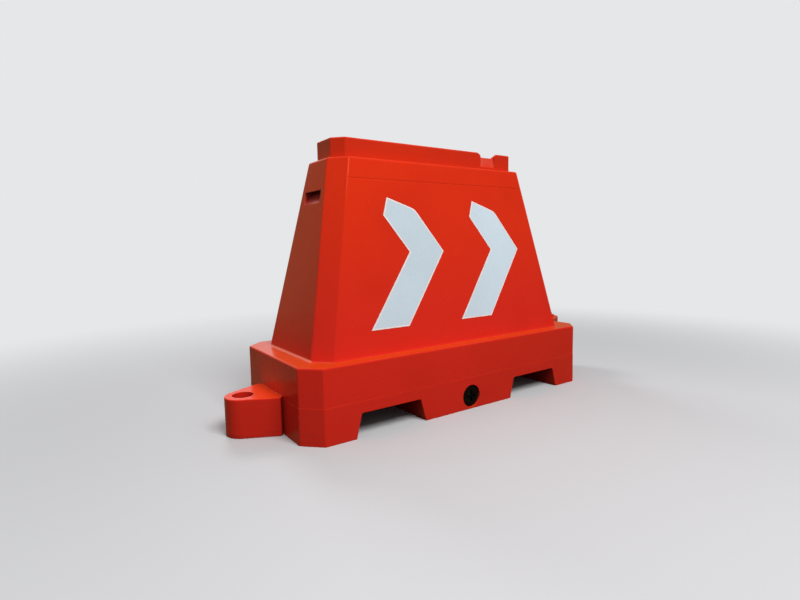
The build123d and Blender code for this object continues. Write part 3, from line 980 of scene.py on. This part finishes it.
@dataclass(frozen=True)
class Thread:
    """A right-handed screw thread about an upright line, with its ends run out."""

    crest: float
    depth: float
    pitch: float
    length: float
    bore: float = 0.0
    around: int = 72
    steps_in_pitch: int = 14
    flank_slope: float = 2.2
    root_share: float = 0.6
    top_run_out: float = 0.6

    def radius(self, turn: float, height: float) -> float:
        """The radius at a share of a turn and a height.

        Args:
            turn: The share of a turn.
            height: The height above the thread's foot.

        Returns:
            The radius.
        """
        phase = (height / self.pitch - turn) % 1.0
        flank = min(1.0, max(0.0, self.flank_slope * (1 - 2 * abs(phase - 0.5)) - self.root_share))
        to_top = max(0.0, self.length - height) / (self.top_run_out * self.pitch)
        return self.crest - self.depth + self.depth * flank * min(1.0, height / self.pitch, to_top)

    def add_to(self, mesh: WorkMesh, spot: Matrix) -> None:
        """Adds the threaded rod, or tube, as a closed form.

        Args:
            mesh: The mesh to add to.
            spot: Where its foot stands and how it is turned.
        """
        def outside(turn: float, share: float) -> Vector:
            """The threaded surface."""
            height = share * self.length
            return spot @ about(turn, self.radius(turn, height), height)

        def inside(turn: float, share: float) -> Vector:
            """The plain bore."""
            return spot @ about(turn, self.bore, share * self.length)

        along = round(self.length / self.pitch * self.steps_in_pitch)
        outer = wrap(mesh, outside, self.around, along)
        if not self.bore:
            mesh.faces.new(list(reversed(outer[0])))
            mesh.faces.new(outer[-1])
            return
        inner = wrap(mesh, inside, self.around, 1)
        for end in (0, -1):
            band(mesh, outer[end], inner[end])


@dataclass(frozen=True)
class WeldBead:
    """A rippled weld bead around an upright post."""

    name: str
    centre: Vector
    ring_radius: float
    bead_radius: float
    ripples: int
    ripple_height: float = 0.14
    around: int = 120
    section: int = 12

    def point(self, turn: float, share: float) -> Vector:
        """A point of the bead's surface.

        Args:
            turn: The share of a turn around the post.
            share: The share of a turn around the bead.

        Returns:
            The point.
        """
        ripple = self.ripple_height * math.sin(self.ripples * FULL_TURN * turn)
        radius = self.bead_radius * (1 + ripple)
        out = self.ring_radius + radius * math.cos(FULL_TURN * share)
        return self.centre + about(turn, out, radius * math.sin(FULL_TURN * share))

    def build(self, material: Material) -> None:
        """Makes the bead and lets it ride on the pin.

        Args:
            material: The finish.
        """
        mesh = bmesh.new()
        wrap(mesh, self.point, self.around, self.section, closed=True)
        bead = placed(self.name, mesh)
        dress(bead, material)
        rides(bead, Body.PIN, Slot.COATED)


# Sub-assemblies

@dataclass
class Shell:
    """The one-piece moulding."""

    node: str = "body_shell"
    finish: MouldedPlastic = MouldedPlastic()

    def build(self) -> None:
        """Dresses the moulding."""
        dress_node(self.node, self.finish.material())


@dataclass
class ReflectiveSheets:
    """The four chevron sheets, each with a sealed border around its field of prisms."""

    nodes: tuple[str, ...] = (
        "chevron_front_left", "chevron_front_right", "chevron_rear_left", "chevron_rear_right")
    border: float = 4.0 * MM
    edge_round: float = 0.35 * MM
    field_drop: float = 0.12 * MM
    facing: float = 0.9
    prisms: PrismSheet = PrismSheet()
    sealed: SealedEdge = SealedEdge()
    sealed_number: int = 1

    def build(self) -> None:
        """Makes and dresses all the sheets."""
        finishes = (self.prisms.material(), self.sealed.material())
        for node in self.nodes:
            sheet = self.sheet(node)
            dress(sheet, *finishes)
            rides(sheet, Body.SHELL, Slot.SHEET, node)

    def face_loop(self, node: str) -> tuple[list[Vector], Vector, float]:
        """Reads the outline of a sheet's outer face.

        Args:
            node: The sheet's node.

        Returns:
            The outline's points in order, the outward direction, and the sheet's thickness.
        """
        mesh = node_mesh(node)
        low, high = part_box(node)
        side = math.copysign(1.0, low.y + high.y)
        outer = max((f for f in mesh.faces if f.normal.y * side > self.facing), key=lambda f: f.calc_area())
        points = [v.co.copy() for v in outer.verts]
        outwards = outer.normal.copy()
        thickness = max((points[0] - v.co).dot(outwards) for v in mesh.verts)
        mesh.free()
        return points, outwards, thickness

    def inset(self, points: Sequence[Vector], outwards: Vector, distance: float) -> list[Vector]:
        """Draws an outline smaller by an even distance.

        Args:
            points: The outline, anticlockwise as seen from outside.
            outwards: The direction that the face looks in.
            distance: How far it shrinks.

        Returns:
            The smaller outline.
        """
        smaller = []
        for i, here in enumerate(points):
            before = (here - points[i - 1]).normalized()
            after = (points[(i + 1) % len(points)] - here).normalized()
            inwards = outwards.cross(before), outwards.cross(after)
            middle = (inwards[0] + inwards[1]).normalized()
            smaller.append(here + middle * (distance / middle.dot(inwards[0])))
        return smaller

    def sheet(self, node: str) -> Piece:
        """Makes one sheet in the place of its node.

        Args:
            node: The sheet's node.

        Returns:
            The sheet.
        """
        outline, outwards, thickness = self.face_loop(node)
        rings = [
            (0.0, thickness), (0.0, self.edge_round), (self.edge_round, 0.0), (self.border, 0.0),
            (self.border + self.field_drop, self.field_drop)]
        mesh = bmesh.new()
        rows = []
        for shrink, depth in rings:
            ring = self.inset(outline, outwards, shrink)
            rows.append([mesh.verts.new(p - outwards * depth) for p in ring])
        faces = [face for low, high in zip(rows, rows[1:]) for face in band(mesh, low, high)]
        faces.append(mesh.faces.new(list(reversed(rows[0]))))
        for face in faces:
            face.material_index = self.sealed_number
        mesh.faces.new(rows[-1])
        return placed(node + "_sheet", mesh)


@dataclass
class ScrewSet:
    """A screwed fitting of the shell: a moulded-in insert, a seal, and a screw whose head looks outwards."""

    screw_node: str
    seal_node: str
    insert_node: str
    screw_name: str
    body: Body
    outwards: Way
    thread_depth: float
    thread_pitch: float
    shank_wall: Optional[float]
    edge_round: float
    black: BlackPlastic
    insert: BlackPlastic
    rubber: SealRubber
    thread_overlap: float = 0.5 * MM
    seat_gap: float = 1.0 * MM

    def build(self) -> None:
        """Makes the screw and dresses the insert and the seal."""
        screw = self.screw()
        dress(screw, self.black.material())
        rides(screw, self.body, Slot.FITTING, self.screw_node)
        dress_node(self.insert_node, self.insert.material())
        dress_node(self.seal_node, self.rubber.material())

    def screw(self) -> Piece:
        """Makes the screw: the rounded head of its node on a threaded shank.

        Returns:
            The screw.
        """
        outwards = Vector(self.outwards)
        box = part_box(self.screw_node)
        centre = (box[0] + box[1]) / 2
        foot = min((corner - centre).dot(outwards) for corner in box)
        seat = max((corner - centre).dot(outwards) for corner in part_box(self.seal_node))
        head = node_mesh(self.screw_node)
        cut_off(head, centre + outwards * seat, -outwards)
        screw = placed(self.screw_name, head)
        soften(screw, self.edge_round)
        crest = self.shank_radius(centre, outwards, seat - self.seat_gap)
        length = seat - foot + self.thread_overlap
        bore = crest - self.shank_wall if self.shank_wall else 0.0
        thread = Thread(crest, self.thread_depth, self.thread_pitch, length, bore)
        turn = Vector((0, 0, 1)).rotation_difference(outwards).to_matrix().to_4x4()
        mesh = bmesh.new()
        mesh.from_mesh(screw.data)
        thread.add_to(mesh, Matrix.Translation(centre + outwards * foot) @ turn)
        write_mesh(mesh, screw.data)
        return screw

    def shank_radius(self, centre: Vector, outwards: Vector, below: float) -> float:
        """The radius of the node's shank, which lies below a distance outwards from the centre."""
        offsets = (v.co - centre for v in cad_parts[self.screw_node].data.vertices)
        return max((o - outwards * o.dot(outwards)).length for o in offsets if o.dot(outwards) < below)


@dataclass
class FillerSet(ScrewSet):
    """The filler in the rim: a moulded-in neck, a seal and a hollow screw cap."""

    screw_node: str = "filler_cap"
    seal_node: str = "filler_seal"
    insert_node: str = "filler_neck"
    screw_name: str = "filler_screw_cap"
    body: Body = Body.FILLER_TOP
    outwards: Way = (0.0, 0.0, 1.0)
    thread_depth: float = 1.6 * MM
    thread_pitch: float = 6.0 * MM
    shank_wall: Optional[float] = 4.0 * MM
    edge_round: float = 0.9 * MM
    black: BlackPlastic = BlackPlastic("filler_black")
    insert: BlackPlastic = BlackPlastic("filler_insert_black", linear("1E1E20"))
    rubber: SealRubber = SealRubber("filler_rubber")


@dataclass
class DrainSet(ScrewSet):
    """The drain in the front: a moulded-in bush, a seal and a solid screw plug."""

    screw_node: str = "drain_plug"
    seal_node: str = "drain_seal"
    insert_node: str = "drain_bush"
    screw_name: str = "drain_screw_plug"
    body: Body = Body.DRAIN_HEAD
    outwards: Way = (0.0, -1.0, 0.0)
    thread_depth: float = 1.2 * MM
    thread_pitch: float = 4.0 * MM
    shank_wall: Optional[float] = None
    edge_round: float = 0.7 * MM
    black: BlackPlastic = BlackPlastic("drain_black", linear("040405"), greying("101012"), gloss=0.18)
    insert: BlackPlastic = BlackPlastic("drain_insert_black", linear("1A1A1C"))
    rubber: SealRubber = SealRubber("drain_rubber")


@dataclass
class CouplingPin:
    """The coupling pin: a galvanised tube with a welded, coated collar and handle, and a plug in each end."""

    tube_node: str = "pin_tube"
    collar_node: str = "pin_collar"
    handle_node: str = "pin_handle"
    plug_nodes: tuple[str, ...] = ("pin_foot_plug", "pin_top_plug")
    leg_welds: tuple[str, ...] = ("weld_handle_near", "weld_handle_far")
    tube_bead: float = 2.2 * MM
    tube_ripples: int = 46
    leg_bead: float = 1.6 * MM
    leg_ripples: int = 16
    foot_height: float = 0.1 * MM
    steel: ZincCoat = ZincCoat()
    coat: DippedCoat = DippedCoat()
    black: BlackPlastic = BlackPlastic("pin_plug_black")

    def build(self) -> None:
        """Dresses the pin and lays its welds, which the coat covers."""
        dress_node(self.tube_node, self.steel.material())
        coat = self.coat.material()
        for node in (self.collar_node, self.handle_node):
            dress_node(node, coat)
        black = self.black.material()
        for node in self.plug_nodes:
            dress_node(node, black)
        for bead in self.beads():
            bead.build(coat)

    def beads(self) -> list[WeldBead]:
        """The weld around the tube and the two around the handle's legs.

        Returns:
            The beads.
        """
        low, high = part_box(self.tube_node)
        middle = (low + high) / 2
        middle.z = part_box(self.collar_node)[1].z
        radius = (high.x - low.x) / 2
        beads = [WeldBead("weld_around_tube", middle, radius, self.tube_bead, self.tube_ripples)]
        for name, (centre, leg_radius) in zip(self.leg_welds, self.legs()):
            beads.append(WeldBead(name, centre, leg_radius, self.leg_bead, self.leg_ripples))
        return beads

    def legs(self) -> list[tuple[Vector, float]]:
        """Finds the feet of the handle's legs, the near one first.

        Returns:
            The centre and the radius of each foot.
        """
        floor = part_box(self.handle_node)[0].z + self.foot_height
        foot = [v.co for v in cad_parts[self.handle_node].data.vertices if v.co.z < floor]
        middle = sum(foot, Vector()) / len(foot)
        feet = []
        for ring in ([p for p in foot if p.y < middle.y], [p for p in foot if p.y > middle.y]):
            centre = sum(ring, Vector()) / len(ring)
            feet.append((centre, max((p - centre).length for p in ring)))
        return feet


@dataclass
class Studio:
    """The pale floor, the soft lights and the camera at the photograph's viewing angle."""

    focal_pixels: float = 502.39
    image_width: float = 800.0
    sensor_width: float = 36.0
    position: Way = (-1.0211, -1.3282, 0.5004)
    yaw: float = math.radians(-34.77)
    pitch: float = math.radians(6.32)
    roll: float = math.radians(-1.07)
    floor_radius: float = 30.0
    floor_corners: int = 96
    key_place: Way = (-0.29, -2.27, 2.84)
    key_size: float = 1.6
    key_power: float = 100.0
    rear_place: Way = (-0.10, 2.20, 1.95)
    rear_size: float = 0.8
    rear_power: float = 24.0
    surroundings: Surroundings = Surroundings()

    def build(self) -> None:
        """Sets the stage."""
        self.floor()
        bpy.context.scene.world = self.surroundings.world()
        self.light("key_light", Vector(self.key_place), self.key_size, self.key_power)
        self.light("rear_light", Vector(self.rear_place), self.rear_size, self.rear_power)
        self.camera()
        bpy.context.scene.view_settings.view_transform = "Standard"

    def floor(self) -> None:
        """Makes a wide round floor."""
        mesh = bmesh.new()
        bmesh.ops.create_circle(mesh, cap_ends=True, segments=self.floor_corners, radius=self.floor_radius)
        floor = placed("studio_floor", mesh)
        dress(floor, PaleFloor().material())

    def light(self, name: str, place: Vector, size: float, power: float) -> None:
        """Hangs one soft light that looks at the barrier and shows in no reflection.

        Args:
            name: The light's name.
            place: Where it hangs.
            size: The side of its square.
            power: Its power in watts.
        """
        lamp = bpy.data.lights.new(name, "AREA")
        lamp.size = size
        lamp.energy = power
        holder = bpy.data.objects.new(name, lamp)
        holder.location = place
        holder.visible_camera = False
        holder.visible_glossy = False
        middle = (cad_box[0] + cad_box[1]) / 2
        holder.rotation_mode = "QUATERNION"
        holder.rotation_quaternion = (middle - place).to_track_quat("-Z", "Y")
        bpy.context.scene.collection.objects.link(holder)

    def camera(self) -> None:
        """Sets the camera where the photograph was taken from."""
        data = bpy.data.cameras.new("camera")
        data.sensor_fit = "HORIZONTAL"
        data.sensor_width = self.sensor_width
        data.lens = self.focal_pixels * self.sensor_width / self.image_width
        level = Matrix.Rotation(self.yaw, 4, "Z") @ Matrix.Rotation(math.pi / 2 - self.pitch, 4, "X")
        camera = bpy.data.objects.new("camera", data)
        camera.matrix_world = Matrix.Translation(self.position) @ level @ Matrix.Rotation(self.roll, 4, "Z")
        bpy.context.scene.collection.objects.link(camera)
        bpy.context.scene.camera = camera


def main() -> None:
    """Builds the barrier's dress and its stage."""
    logging.basicConfig(level=logging.INFO, format="%(name)s: %(message)s")
    for assembly in (Shell(), ReflectiveSheets(), FillerSet(), DrainSet(), CouplingPin(), Studio()):
        assembly.build()


if __name__ == "__main__":
    main()
